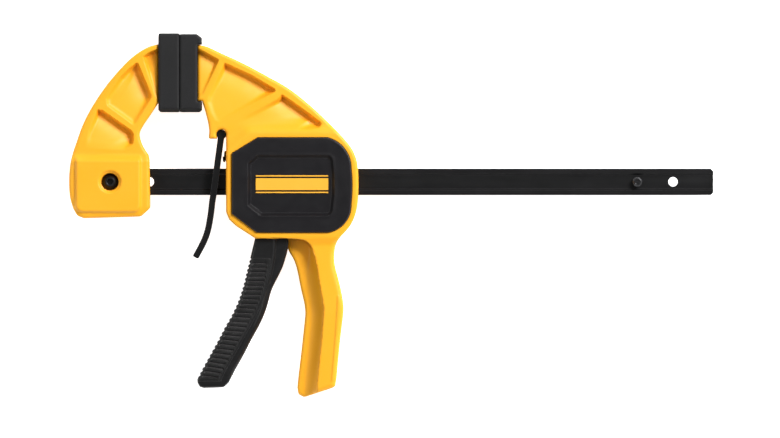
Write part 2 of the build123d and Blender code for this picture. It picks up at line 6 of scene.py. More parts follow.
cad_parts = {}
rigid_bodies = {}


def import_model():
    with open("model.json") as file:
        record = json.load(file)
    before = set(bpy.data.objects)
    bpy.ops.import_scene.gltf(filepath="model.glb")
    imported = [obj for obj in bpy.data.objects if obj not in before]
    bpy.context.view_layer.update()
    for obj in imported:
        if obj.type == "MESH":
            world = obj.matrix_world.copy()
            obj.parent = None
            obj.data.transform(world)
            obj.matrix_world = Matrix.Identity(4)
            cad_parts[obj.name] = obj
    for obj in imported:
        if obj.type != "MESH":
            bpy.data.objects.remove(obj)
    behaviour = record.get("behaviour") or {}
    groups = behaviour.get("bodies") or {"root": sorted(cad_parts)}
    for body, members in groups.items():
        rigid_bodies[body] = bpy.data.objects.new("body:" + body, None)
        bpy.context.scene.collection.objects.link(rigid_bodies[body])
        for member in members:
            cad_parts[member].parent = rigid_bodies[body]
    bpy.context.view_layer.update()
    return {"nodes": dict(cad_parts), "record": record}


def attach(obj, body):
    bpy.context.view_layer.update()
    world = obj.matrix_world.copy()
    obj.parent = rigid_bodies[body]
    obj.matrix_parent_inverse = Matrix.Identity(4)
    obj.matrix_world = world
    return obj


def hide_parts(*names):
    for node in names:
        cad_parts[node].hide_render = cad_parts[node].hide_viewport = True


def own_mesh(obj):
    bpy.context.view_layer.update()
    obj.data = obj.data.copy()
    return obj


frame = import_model()
nodes = frame["nodes"]

# drawing coordinates: millimetres from the jaw screw axis, the same as in the CAD source
OX, OY = -180.0, 21.5
ZM = 17.0
MM = 0.001


# ------------------------------------------------------------------ plane curves
def spl(points, step=0.6):
    # natural cubic spline through the points, sampled about every step mm
    p = np.array(points, float)
    t = np.concatenate([[0], np.cumsum(np.hypot(*np.diff(p, axis=0).T))])
    n = len(p)
    h = np.diff(t)
    out = []
    A = np.zeros((n, n))
    A[0, 0] = A[-1, -1] = 1
    rhs = np.zeros((n, 2))
    for i in range(1, n - 1):
        A[i, i - 1], A[i, i], A[i, i + 1] = h[i - 1], 2 * (h[i - 1] + h[i]), h[i]
        rhs[i] = 6 * ((p[i + 1] - p[i]) / h[i] - (p[i] - p[i - 1]) / h[i - 1])
    m = np.linalg.solve(A, rhs)
    for i in range(n - 1):
        k = max(1, int(math.ceil(h[i] / step)))
        s = np.arange(k)[:, None] * h[i] / k
        a, b = h[i] - s, s
        out.append((m[i] * a ** 3 + m[i + 1] * b ** 3) / (6 * h[i])
                   + (p[i] / h[i] - m[i] * h[i] / 6) * a + (p[i + 1] / h[i] - m[i + 1] * h[i] / 6) * b)
    out.append(p[-1:])
    return [tuple(q) for q in np.concatenate(out)]


def rounded(points, radii, closed=True, seg=0.5):
    # polygon with its corners rounded
    pts = [np.array(q, float) for q in points]
    n = len(pts)
    if not hasattr(radii, "__len__"):
        radii = [radii] * n
    out = []
    for i in range(n):
        if not closed and i in (0, n - 1):
            out.append(tuple(pts[i]))
            continue
        a, b, c = pts[i - 1], pts[i], pts[(i + 1) % n]
        u, v = (a - b), (c - b)
        lu, lv = np.linalg.norm(u), np.linalg.norm(v)
        u, v = u / lu, v / lv
        ang = math.acos(max(-1, min(1, float(u @ v))))
        r = radii[i]
        if r <= 0 or ang > math.pi - 0.03:
            out.append(tuple(b))
            continue
        d = min(r / math.tan(ang / 2), lu * 0.48, lv * 0.48)
        r = d * math.tan(ang / 2)
        centre = b + (u + v) / np.linalg.norm(u + v) * (r / math.sin(ang / 2))
        s, e = b + u * d - centre, b + v * d - centre
        a0, a1 = math.atan2(s[1], s[0]), math.atan2(e[1], e[0])
        da = (a1 - a0 + math.pi) % (2 * math.pi) - math.pi
        k = max(2, int(abs(da) * r / seg) + 1)
        for j in range(k + 1):
            q = a0 + da * j / k
            out.append((centre[0] + r * math.cos(q), centre[1] + r * math.sin(q)))
    return out


def arc3(a, m, b, seg=0.6):
    ax, ay, mx, my, bx, by = *a, *m, *b
    d = 2 * (ax * (my - by) + mx * (by - ay) + bx * (ay - my))
    ux = ((ax * ax + ay * ay) * (my - by) + (mx * mx + my * my) * (by - ay) + (bx * bx + by * by) * (ay - my)) / d
    uy = ((ax * ax + ay * ay) * (bx - mx) + (mx * mx + my * my) * (ax - bx) + (bx * bx + by * by) * (mx - ax)) / d
    r = math.hypot(ax - ux, ay - uy)
    a0, am, a1 = (math.atan2(q[1] - uy, q[0] - ux) for q in (a, m, b))
    ccw = ((am - a0) % (2 * math.pi)) < ((a1 - a0) % (2 * math.pi))
    da = (a1 - a0) % (2 * math.pi) if ccw else -((a0 - a1) % (2 * math.pi))
    k = max(2, int(abs(da) * r / seg))
    return [(ux + r * math.cos(a0 + da * i / k), uy + r * math.sin(a0 + da * i / k)) for i in range(k + 1)]


def resample(poly, step=0.6):
    # closed polygon with long sides divided and doubled points dropped
    out = []
    n = len(poly)
    for i in range(n):
        a, b = np.array(poly[i]), np.array(poly[(i + 1) % n])
        d = np.linalg.norm(b - a)
        if d < 0.05:
            continue
        k = max(1, int(math.ceil(d / step)))
        out += [tuple(a + (b - a) * j / k) for j in range(k)]
    return out


def sdf(poly, P):
    # signed distance to a closed polygon, positive inside
    A = np.array(poly, float)
    B = np.roll(A, -1, axis=0)
    best = np.full(len(P), 1e9)
    inside = np.zeros(len(P), bool)
    for a, b in zip(A, B):
        e = b - a
        w = P - a
        t = np.clip((w @ e) / max(float(e @ e), 1e-12), 0, 1)
        q = w - t[:, None] * e
        best = np.minimum(best, np.einsum("ij,ij->i", q, q))
        c = (a[1] <= P[:, 1]) != (b[1] <= P[:, 1])
        if c.any():
            x = a[0] + (P[:, 1] - a[1]) / (e[1] if abs(e[1]) > 1e-12 else 1e-12) * e[0]
            inside ^= c & (P[:, 0] < x)
    return np.where(inside, 1, -1) * np.sqrt(best)


def polydist(line, P):
    # distance to an open line of points, signed by side (left of travel is positive)
    A = np.array(line, float)
    best = np.full(len(P), 1e18)
    sign = np.ones(len(P))
    for a, b in zip(A[:-1], A[1:]):
        e = b - a
        w = P - a
        t = np.clip((w @ e) / max(float(e @ e), 1e-12), 0, 1)
        q = w - t[:, None] * e
        d = np.einsum("ij,ij->i", q, q)
        s = np.sign(e[0] * w[:, 1] - e[1] * w[:, 0])
        better = d < best - 1e-12
        sign = np.where(better, s, sign)
        best = np.minimum(best, d)
    return np.sqrt(best) * np.where(sign == 0, 1, sign)


def offset_points(poly, d):
    # points a distance d inside the polygon, found along each vertex normal
    A = np.array(poly, float)
    t = np.roll(A, -1, axis=0) - np.roll(A, 1, axis=0)
    t /= np.linalg.norm(t, axis=1)[:, None] + 1e-12
    area = 0.5 * np.sum(A[:, 0] * np.roll(A[:, 1], -1) - np.roll(A[:, 0], -1) * A[:, 1])
    nrm = np.stack([-t[:, 1], t[:, 0]], 1) * (1 if area > 0 else -1)
    Q = A + nrm * d
    if d == 0:
        return Q
    s = sdf(poly, Q)
    return Q[np.abs(s - d) < 0.12 * abs(d) + 0.02]


def smooth(x):
    x = np.clip(x, 0, 1)
    return x * x * (3 - 2 * x)


# ------------------------------------------------------------------ meshes
def new_object(name, verts, faces, body):
    mesh = bpy.data.meshes.new(name)
    mesh.from_pydata([((x + OX) * MM, (y + OY) * MM, z * MM) for x, y, z in verts], [], faces)
    mesh.update()
    o = bpy.data.objects.new(name, mesh)
    bpy.context.scene.collection.objects.link(o)
    if body:
        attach(o, body)
    return o


def relief(name, outline, height, r=1.0, step=0.7, features=(), body=None, edge=0.6, back=None, extra=None):
    # closed body: its front is height(P) over the outline, its back the mirror image about the middle plane
    ring = resample(outline, edge)
    nb = len(ring)
    pts = [np.array(ring)]
    for f in (0.134, 0.5, 1.0, 1.5):
        pts.append(offset_points(ring, f * r))
    keep_off = [(ring, -1.0, 1.5 * r + step * 0.6)]
    for poly, offs in features:
        fr = resample(poly, edge)
        for d in offs:
            q = offset_points(fr, d)
            s = sdf(ring, q)
            pts.append(q[s > 1.5 * r + 0.25])
        keep_off.append((fr, min(offs) - step * 0.6, max(offs) + step * 0.6))
    A = np.array(ring)
    x0, y0 = A.min(0)
    x1, y1 = A.max(0)
    gx, gy = np.meshgrid(np.arange(x0, x1, step), np.arange(y0, y1, step * 0.866))
    gx = gx + (np.arange(gx.shape[0]) % 2)[:, None] * step * 0.5
    G = np.stack([gx.ravel(), gy.ravel()], 1)
    for k, (poly, a, b) in enumerate(keep_off):
        s = sdf(poly, G)
        G = G[s > b] if k == 0 else G[(s < a) | (s > b)]
    if extra is not None:
        e = extra[sdf(ring, extra) > 1.5 * r + 0.25]
        pts.append(e)
        used = {(int(x // (step * 0.7)), int(y // (step * 0.7))) for x, y in e}
        G = np.array([q for q in G if (int(q[0] // (step * 0.7)), int(q[1] // (step * 0.7))) not in used])
    pts.append(G)
    P = np.concatenate(pts)
    # thin out points that crowd together, keeping the outline
    cell = {}
    keep = []
    m = 0.16
    for i, (x, y) in enumerate(P):
        if i < nb:
            keep.append(i)
            cell.setdefault((int(x // m), int(y // m)), []).append(i)
            continue
        cx, cy = int(x // m), int(y // m)
        near = False
        for ax in (-1, 0, 1):
            for ay in (-1, 0, 1):
                for j in cell.get((cx + ax, cy + ay), ()):
                    if (P[j][0] - x) ** 2 + (P[j][1] - y) ** 2 < m * m:
                        near = True
        if not near:
            keep.append(i)
            cell.setdefault((cx, cy), []).append(i)
    P = P[keep]
    edges = [(i, (i + 1) % nb) for i in range(nb)]
    vs, _, fs, _, _, _ = delaunay_2d_cdt([Vector((float(x), float(y))) for x, y in P], edges, [list(range(nb))], 1, 1e-5)
    V = np.array([(v.x, v.y) for v in vs])
    z = height(V)
    n = len(V)
    tri = [tuple(f) for f in fs]
    # orientation
    a, b, c = (V[list(tri[0])[k]] for k in range(3))
    up = (b[0] - a[0]) * (c[1] - a[1]) - (b[1] - a[1]) * (c[0] - a[0]) > 0
    front = [t if up else t[::-1] for t in tri]
    zb = (2 * ZM - z) if back is None else back(V)
    verts = [(x, y, h) for (x, y), h in zip(V, z)] + [(x, y, h) for (x, y), h in zip(V, zb)]
    faces = list(front) + [tuple(n + i for i in t[::-1]) for t in front]
    # walls: every edge used by one front triangle only
    used = {}
    for t in front:
        for i in range(3):
            e = (t[i], t[(i + 1) % 3])
            used[e] = used.get(e, 0) + 1
    rim = [e for e in used if (e[1], e[0]) not in used]
    levels = 3
    base = len(verts)
    side = sorted({v for e in rim for v in e})
    idx = {v: k for k, v in enumerate(side)}
    for lv in range(1, levels):
        f = lv / levels
        for v in side:
            verts.append((V[v][0], V[v][1], z[v] + (zb[v] - z[v]) * f))
    def vid(v, lv):
        if lv == 0:
            return v
        if lv == levels:
            return n + v
        return base + (lv - 1) * len(side) + idx[v]
    for a, b in rim:
        for lv in range(levels):
            faces.append((vid(b, lv), vid(a, lv), vid(a, lv + 1), vid(b, lv + 1)))
    return new_object(name, verts, faces, body)


def prism(name, outline, z0, z1, body=None):
    A = np.array(outline)
    area = 0.5 * np.sum(A[:, 0] * np.roll(A[:, 1], -1) - np.roll(A[:, 0], -1) * A[:, 1])
    pts = list(outline) if area > 0 else list(outline)[::-1]
    n = len(pts)
    verts = [(x, y, z0) for x, y in pts] + [(x, y, z1) for x, y in pts]
    faces = [tuple(range(n))[::-1], tuple(range(n, 2 * n))] + [(i, (i + 1) % n, n + (i + 1) % n, n + i) for i in range(n)]
    return new_object(name, verts, faces, body)


def rect(x0, x1, y0, y1):
    return [(x0, y0), (x1, y0), (x1, y1), (x0, y1)]


def circle(cx, cy, r, n=64):
    return [(cx + r * math.cos(2 * math.pi * i / n), cy + r * math.sin(2 * math.pi * i / n)) for i in range(n)]


def cyl_x(name, x0, x1, y, z, r, n=48):
    verts = []
    for x in (x0, x1):
        verts += [(x, y + r * math.cos(2 * math.pi * i / n), z + r * math.sin(2 * math.pi * i / n)) for i in range(n)]
    faces = [tuple(range(n))[::-1], tuple(range(n, 2 * n))] + [(i, (i + 1) % n, n + (i + 1) % n, n + i) for i in range(n)]
    return new_object(name, verts, faces, None)


def carve(target, cutters, op="DIFFERENCE"):
    for c in cutters:
        m = target.modifiers.new("cut", "BOOLEAN")
        m.operation = op
        m.object = c
        m.solver = "EXACT"
    dg = bpy.context.evaluated_depsgraph_get()
    mesh = bpy.data.meshes.new_from_object(target.evaluated_get(dg))
    old = target.data
    target.modifiers.clear()
    target.data = mesh
    bpy.data.meshes.remove(old)
    mesh.name = target.name
    for c in cutters:
        bpy.data.objects.remove(c)


def shade(o, angle=32):
    mesh = o.data
    mesh.polygons.foreach_set("use_smooth", np.ones(len(mesh.polygons), bool))
    bm = bmesh.new()
    bm.from_mesh(mesh)
    lim = math.radians(angle)
    for e in bm.edges:
        e.smooth = len(e.link_faces) == 2 and e.calc_face_angle(0) < lim
    bm.to_mesh(mesh)
    bm.free()


# ------------------------------------------------------------------ materials
def material(name):
    m = bpy.data.materials.new(name)
    m.use_nodes = True
    nt = m.node_tree
    nt.nodes.clear()
    out = nt.nodes.new("ShaderNodeOutputMaterial")
    bsdf = nt.nodes.new("ShaderNodeBsdfPrincipled")
    nt.links.new(bsdf.outputs[0], out.inputs[0])
    return m, nt, bsdf


def coords(nt, stretch=(1, 1, 1)):
    tc = nt.nodes.new("ShaderNodeTexCoord")
    mp = nt.nodes.new("ShaderNodeMapping")
    mp.inputs["Scale"].default_value = stretch
    nt.links.new(tc.outputs["Object"], mp.inputs["Vector"])
    return mp.outputs[0]


def noise(nt, vec, scale, detail=4, rough=0.55):
    n = nt.nodes.new("ShaderNodeTexNoise")
    n.inputs["Scale"].default_value = scale
    n.inputs["Detail"].default_value = detail
    n.inputs["Roughness"].default_value = rough
    nt.links.new(vec, n.inputs["Vector"])
    return n.outputs["Fac"]


def ramp(nt, fac, stops):
    r = nt.nodes.new("ShaderNodeValToRGB")
    el = r.color_ramp.elements
    while len(el) < len(stops):
        el.new(0.5)
    for e, (pos, col) in zip(el, stops):
        e.position = pos
        e.color = col if len(col) == 4 else (*col, 1)
    nt.links.new(fac, r.inputs["Fac"])
    return r.outputs["Color"]


def value_map(nt, fac, a, b, c, d):
    r = nt.nodes.new("ShaderNodeMapRange")
    for k, v in zip(("From Min", "From Max", "To Min", "To Max"), (a, b, c, d)):
        r.inputs[k].default_value = v
    nt.links.new(fac, r.inputs["Value"])
    return r.outputs[0]


def edge_wear_and_highlight(nt, radius=0.0008, low=0.02, high=0.25):
    # 0 on flat faces, 1 on outer edges: the mask for edge wear and for a painted highlight along the edges
    bev = nt.nodes.new("ShaderNodeBevel")
    bev.samples = 6
    bev.inputs["Radius"].default_value = radius
    geo = nt.nodes.new("ShaderNodeNewGeometry")
    dot = nt.nodes.new("ShaderNodeVectorMath")
    dot.operation = "DOT_PRODUCT"
    nt.links.new(bev.outputs[0], dot.inputs[0])
    nt.links.new(geo.outputs["True Normal"], dot.inputs[1])
    inv = nt.nodes.new("ShaderNodeMath")
    inv.operation = "SUBTRACT"
    inv.inputs[0].default_value = 1.0
    nt.links.new(dot.outputs["Value"], inv.inputs[1])
    return value_map(nt, inv.outputs[0], low, high, 0, 1)


def bumps(nt, bsdf, layers, bevel=0.0):
    # layers: (height socket, strength, distance)
    normal = None
    if bevel:
        b = nt.nodes.new("ShaderNodeBevel")
        b.samples = 6
        b.inputs["Radius"].default_value = bevel
        normal = b.outputs[0]
    for h, s, d in layers:
        b = nt.nodes.new("ShaderNodeBump")
        b.inputs["Strength"].default_value = s
        b.inputs["Distance"].default_value = d
        nt.links.new(h, b.inputs["Height"])
        if normal:
            nt.links.new(normal, b.inputs["Normal"])
        normal = b.outputs[0]
    if normal:
        nt.links.new(normal, bsdf.inputs["Normal"])


def mix(nt, fac, a, b):
    m = nt.nodes.new("ShaderNodeMix")
    m.data_type = "RGBA"
    for sock, v in ((m.inputs[0], fac), (m.inputs[6], a), (m.inputs[7], b)):
        if isinstance(v, (int, float)):
            sock.default_value = v
        elif isinstance(v, tuple):
            sock.default_value = (*v, 1)
        else:
            nt.links.new(v, sock)
    return m.outputs[2]


def plastic(name, dark, light, rough=(0.42, 0.56), grain=0.25, bevel=0.0004, coat=0.0, wear_and_highlight=None, spec=0.5):
    m, nt, b = material(name)
    v = coords(nt)
    cloud = noise(nt, v, 28, 5)
    col = ramp(nt, cloud, [(0.3, dark), (0.7, light)])
    speck = noise(nt, v, 900, 2)
    col = mix(nt, value_map(nt, speck, 0.62, 0.75, 0, 0.25), col, tuple(min(1, c * 1.25 + 0.004) for c in light))
    # edges take a lighter colour: partly real edge wear, partly a painted highlight along edges and rib crests
    if wear_and_highlight:
        col = mix(nt, edge_wear_and_highlight(nt), col, wear_and_highlight)
    nt.links.new(col, b.inputs["Base Color"])
    nt.links.new(value_map(nt, noise(nt, v, 160, 4), 0.3, 0.7, *rough), b.inputs["Roughness"])
    b.inputs["Specular IOR Level"].default_value = spec
    b.inputs["Coat Weight"].default_value = coat
    bumps(nt, b, [(noise(nt, v, 2600, 3), grain, 0.00006), (noise(nt, v, 90, 3), 0.12, 0.0004)], bevel)
    return m


def metal(name, dark, light, metallic, rough, streak=(1, 1, 1), bevel=0.0003, wear_and_highlight=None, scratch=0.2, spec=0.5):
    m, nt, b = material(name)
    b.inputs["Specular IOR Level"].default_value = spec
    v = coords(nt)
    vs = coords(nt, streak)
    col = ramp(nt, noise(nt, v, 60, 5), [(0.3, dark), (0.7, light)])
    # edges take a lighter colour: partly real edge wear, partly a painted highlight along edges
    if wear_and_highlight:
        col = mix(nt, edge_wear_and_highlight(nt, 0.0006), col, wear_and_highlight)
    nt.links.new(col, b.inputs["Base Color"])
    b.inputs["Metallic"].default_value = metallic
    nt.links.new(value_map(nt, noise(nt, vs, 300, 5), 0.3, 0.7, *rough), b.inputs["Roughness"])
    bumps(nt, b, [(noise(nt, vs, 700, 4), scratch, 0.00005), (noise(nt, v, 1800, 2), 0.1, 0.00004)], bevel)
    return m


# the wear colours below are lighter than the base: edge wear together with a painted highlight on the edges of the
# black parts
M = {
    "jaw_nylon": plastic("jaw_nylon", (0.93, 0.412, 0.012), (0.96, 0.432, 0.016), (0.40, 0.52), 0.2, 0.0005, spec=0.35),
    "cover_nylon": plastic("cover_nylon", (0.006, 0.0055, 0.0068), (0.008, 0.0075, 0.009), (0.32, 0.42), 0.35, 0.0003, wear_and_highlight=(0.075, 0.075, 0.08), spec=0.32),
    "trigger_nylon": plastic("trigger_nylon", (0.006, 0.006, 0.0062), (0.008, 0.008, 0.0083), (0.30, 0.42), 0.25, 0.0003, wear_and_highlight=(0.05, 0.05, 0.05), spec=0.3),
    "badge_plastic": plastic("badge_plastic", (0.86, 0.42, 0.03), (0.90, 0.45, 0.04), (0.3, 0.4), 0.1, 0.0002),
    "pad_rubber": plastic("pad_rubber", (0.012, 0.012, 0.0125), (0.015, 0.015, 0.016), (0.5, 0.64), 0.4, 0.0005, wear_and_highlight=(0.07, 0.07, 0.07), spec=0.22),
    "grip_rubber": plastic("grip_rubber", (0.006, 0.006, 0.0062), (0.009, 0.009, 0.0093), (0.32, 0.44), 0.3, 0.0003, wear_and_highlight=(0.065, 0.062, 0.062), spec=0.34),
    "bar_steel": metal("bar_steel", (0.004, 0.004, 0.0042), (0.007, 0.007, 0.0075), 0.0, (0.30, 0.42), (0.06, 1, 1), 0.0004, wear_and_highlight=(0.05, 0.05, 0.053), spec=0.27),
    "black_steel": metal("black_steel", (0.004, 0.004, 0.0042), (0.007, 0.007, 0.0075), 0.0, (0.26, 0.38), (1, 0.15, 1), 0.0004, wear_and_highlight=(0.05, 0.05, 0.053), spec=0.3),
    "pin_steel": metal("pin_steel", (0.05, 0.05, 0.052), (0.10, 0.10, 0.105), 0.95, (0.22, 0.36), (1, 1, 0.2), 0.0003),
    "zinc_steel": metal("zinc_steel", (0.52, 0.53, 0.55), (0.66, 0.67, 0.69), 1.0, (0.25, 0.4), (1, 1, 1), 0.0003),
    "plate_steel": metal("plate_steel", (0.32, 0.32, 0.33), (0.46, 0.46, 0.47), 1.0, (0.3, 0.45), (1, 1, 0.2), 0.0003),
    "spring_steel": metal("spring_steel", (0.02, 0.02, 0.021), (0.035, 0.035, 0.037), 0.6, (0.28, 0.42), (1, 1, 1), 0.0),
}
slot_of = {s["node"]: s["material_slot"] for s in frame["record"]["subparts"]}
body_of = {n: b for b, ns in frame["record"]["behaviour"]["bodies"].items() for n in ns}
for n, o in nodes.items():
    o.data.materials.clear()
    o.data.materials.append(M[slot_of[n]])


def stands_for(o, node, angle=32):
    o.data.materials.clear()
    o.data.materials.append(M[slot_of[node]])
    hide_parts(node)
    shade(o, angle)
    return o


# ------------------------------------------------------------------ shared outlines
top_curve = [(56.0, 87.7), (61.4, 86.7), (67.2, 84.2), (83.8, 76.5), (103.0, 66.3), (112.0, 61.2),
             (119.4, 56.0), (128.6, 48.4), (139.5, 38.2), (149.4, 28.0), (153.6, 22.9), (156.5, 17.8),
             (158.3, 11.4), (158.9, 4.0), (158.9, -7.8), (158.4, -14.2), (157.1, -20.6), (153.6, -28.3),
             (149.1, -33.6), (146.0, -37.3), (144.2, -41.7), (143.5, -47.5), (144.0, -53.9), (145.6, -60.3),
             (147.4, -67.3), (148.9, -75.0), (149.5, -80.2), (149.2, -85.9), (147.9, -96.8), (146.3, -112.1),
             (145.0, -126.2)]
strap_edge = [(116.5, -36.5), (119.9, -36.6), (126.3, -38.4), (130.2, -44.9), (133.8, -62.8), (136.0, -75.6), (136.8, -81.4),
              (136.5, -87.2), (135.4, -101.2), (134.1, -114.0), (132.6, -130.0)]
web_edge = [(113.3, -37.7), (113.9, -43.0), (117.0, -48.8), (119.7, -56.4), (122.3, -69.2), (124.3, -77.9), (124.9, -83.3),
            (124.4, -90.4), (122.9, -104.4), (121.3, -117.9), (120.2, -127.6), (119.8, -131.8)]
cover_poly = [(139.2, 28.4), (94.5, 28.4), (77.9, 18.2), (77.9, -20.4), (94.0, -32.5)] \
    + arc3((139.5, -32.5), (149.6, -27.2), (154.3, -15.0)) \
    + arc3((154.3, -15.0), (155.0, -3.0), (154.4, 9.0))[1:] + arc3((154.4, 9.0), (149.2, 22.4), (139.2, 28.4))[1:-1]


def grown(poly, d):
    # plain outward offset of a convex outline
    A = np.array(resample(poly, 1.0))
    t = np.roll(A, -1, axis=0) - np.roll(A, 1, axis=0)
    t /= np.linalg.norm(t, axis=1)[:, None]
    area = 0.5 * np.sum(A[:, 0] * np.roll(A[:, 1], -1) - np.roll(A[:, 0], -1) * A[:, 1])
    n = np.stack([t[:, 1], -t[:, 0]], 1) * (1 if area > 0 else -1)
    return [tuple(q) for q in A + n * d]


def scoop(P, outline, line, near, far, reach, span=6.0, w=1.8, soft=4.0):
    # pocket with a deep hollow along one side and a shallow floor that runs out away from it;
    # its wall is steep along that side and soft everywhere else
    s = sdf(outline, P)
    away = np.abs(polydist(line, P))
    t = np.clip(away / reach, 0, 1)
    wall = w + (soft - w) * smooth(away / 7.0)
    return (near * np.exp(-(away / span) ** 2) + far * (1 - t)) * smooth(s / wall)


def edge_round(d, r):
    k = np.clip(1 - d / r, 0, 1)
    return r * (1 - np.sqrt(np.clip(1 - k * k, 0, 1)))


RINGS = (0.0, 0.35, 0.7, 1.15, 1.8, 2.6, 3.5)

# ------------------------------------------------------------------ movable jaw
notch = [(71.2 + 3.22 * math.cos(a), 30.3 + 3.22 * math.sin(a)) for a in np.linspace(math.radians(-18), math.radians(205), 30)]
jaw_poly = spl(top_curve) \
    + rounded([(145.0, -126.2), (144.2, -131.0), (142.0, -132.2), (133.2, -135.0), (124.2, -138.1), (120.4, -136.0), (119.8, -131.8)],
              [0, 1.5, 1.5, 4, 3.0, 2.5, 0], closed=False)[1:] \
    + spl(list(reversed(web_edge)))[1:] \
    + rounded([(113.3, -36.6), (93.4, -36.6), (80.6, -28.3), (76.2, -24.1), (74.24, -19.3), (74.24, 29.3)], [0, 3, 6, 4, 4, 0], closed=False)[1:] \
    + notch + rounded([(68.28, 28.9), (68.28, 27.6), (63.1, 27.6), (63.5, 32.5), (62.7, 38.3), (60.5, 46.6), (59.2, 50.6), (58.95, 51.7), (56.0, 51.7), (56.0, 87.7)],
                      [0, 0.5, 0.8, 5, 8, 6, 0, 0, 0, 0], closed=False)[:-1]
block_poly = rounded([(70.0, 17.0), (88.2, 33.5), (165.0, 33.5), (175.0, -10.0), (165.0, -37.4), (70.0, -37.4)], [0, 8, 0, 0, 0, 0])
p0_top = [(54.0, 86.6), (60.5, 83.6), (69.9, 78.4)]
p1_top = [(73.4, 76.6), (90.3, 68.7), (105.9, 59.6)]
p2_top = [(109.9, 56.5), (122.6, 47.6), (136.2, 37.6)]
p0 = rounded([(54.0, 86.6), (60.5, 83.6), (69.9, 78.4), (69.3, 76.3), (59.9, 55.6), (54.0, 52.0)], [0, 4, 0.9, 0.9, 1.0, 0])
p1 = rounded([(73.2, 76.6), (90.3, 68.7), (105.9, 59.6), (105.9, 57.3), (75.8, 40.6), (68.0, 36.0), (64.0, 44.0), (62.0, 51.0), (62.8, 55.2)],
             [1.5, 0, 1.2, 1.5, 0, 5, 3, 3, 2])
p2 = rounded([(109.9, 56.5), (122.6, 47.6), (136.4, 37.2), (133.6, 33.9), (121.0, 32.0), (86.0, 30.5), (78.2, 37.8), (108.3, 53.9)],
             [1.2, 0, 2.0, 2.0, 0, 4, 2, 1.2])
jaw_ring = resample(jaw_poly, 0.6)
strap_line = [(116.6, -36.2)] + spl(list(strap_edge)[1:]) + [(132.3, -140.0)]
strap_region = strap_line + [(150, -140), (170, -80), (150, -36.0)]
panel_strap = [(145.4, -72.7), (152.0, -73.6), (155.0, -90.0), (152.0, -128.4), (141.5, -127.6), (143.0, -110.0), (144.3, -92.5), (145.0, -82.0)]


def jaw_height(P):
    x, y = P[:, 0], P[:, 1]
    d = np.maximum(sdf(jaw_ring, P), 0)
    z = np.full(len(P), 30.0)
    z += 2.0 * smooth((sdf(block_poly, P) + 4.0) / 7.0)
    z -= scoop(P, p0, p0_top, 2.7, 2.8, 36.0, span=8.0, soft=1.9)
    z -= scoop(P, p1, p1_top, 3.0, 3.2, 40.0, span=9.0, soft=3.2)
    z -= scoop(P, p2, p2_top, 3.2, 3.0, 34.0, span=9.0, soft=3.2) * np.maximum(smooth((y - 31.5) / 10.0), smooth((x - 116.0) / 12.0) * 0.85)
    # handle: low middle wall in front, high strap behind, joined by a wide hollow
    s = polydist(strap_line, P)
    inside = (y < -36.2) & (s < 0)
    R = np.clip(0.4 + (-40.6 - y) * 0.45, 0.4, 8.5)
    t = np.clip((R + s) / R, 0, 1)
    hollow = 21.0 + 9.0 * (0.25 * smooth(t) + 0.75 * (1 - np.sqrt(np.clip(1 - t * t, 0, 1))))
    lip = smooth((y + 36.2) / -0.9)
    z = np.where(inside, np.minimum(z, z + (hollow - z) * lip), z)
    on = (y < -40) & (s >= 0)
    z -= np.where(on, edge_round(s, 0.9), 0)
    z += 0.4 * smooth(sdf(panel_strap, P) / 0.4)
    r = np.where(y < -38, 3.0, 1.7)
    r = np.where((y < -36) & (s < 0), 1.8, r)
    return z - edge_round(d, r)


feat = [(p, RINGS) for p in (p0, p1, p2)] + [(strap_region, (-0.25, 0.0, 0.25, 0.6, 0.9)), (panel_strap, (0.0, 0.2, 0.4))]
jaw = relief("movable_jaw_moulding", jaw_poly, jaw_height, r=1.7, step=0.75, features=feat, body=body_of["movable_jaw"], edge=0.6)
cav = grown(cover_poly, -1.3)
seat = grown(cover_poly, 0.2)
gap = [(113.3, -38.5), (113.3, -28.0), (129.0, -28.0), (129.0, -36.5), (128.8, -42.4), (125.8, -39.1), (119.5, -37.5)]
carve(jaw, [
    prism("c1", cav, -5, 40), prism("c2", seat, 29.39, 40), prism("c3", seat, -6, 4.61),
    prism("c4", rect(92.1, 113.4, -37.5, -28.0), 5.0, 29.0),
    prism("c5", gap, 5.0, 13.0), prism("c6", gap, 21.0, 29.0),
    prism("c7", rect(70, 165, -8.65, 8.65), ZM - 3.15, ZM + 3.15),
])
# bar guide with the brake spring hole, and the spring seat, inside the housing
guide = prism("movable_jaw_guide", rect(77.7, 84.4, -14.0, 21.9), 4.65, 29.35, body_of["movable_jaw"])
carve(guide, [cyl_x("c8", 73.0, 81.5, 16.2, ZM, 4.3), prism("c9", rect(70, 165, -8.65, 8.65), ZM - 3.15, ZM + 3.15)])
seat_wall = prism("movable_jaw_seat", rect(151.8, 154.9, -13.5, 13.5), 4.65, 29.35, body_of["movable_jaw"])
carve(seat_wall, [prism("c10", rect(140, 165, -8.65, 8.65), ZM - 3.15, ZM + 3.15)])
carve(jaw, [cyl_x("c11", 70.0, 81.5, 16.2, ZM, 4.3)])
for o in (jaw, guide, seat_wall):
    stands_for(o, "movable_jaw", 50)

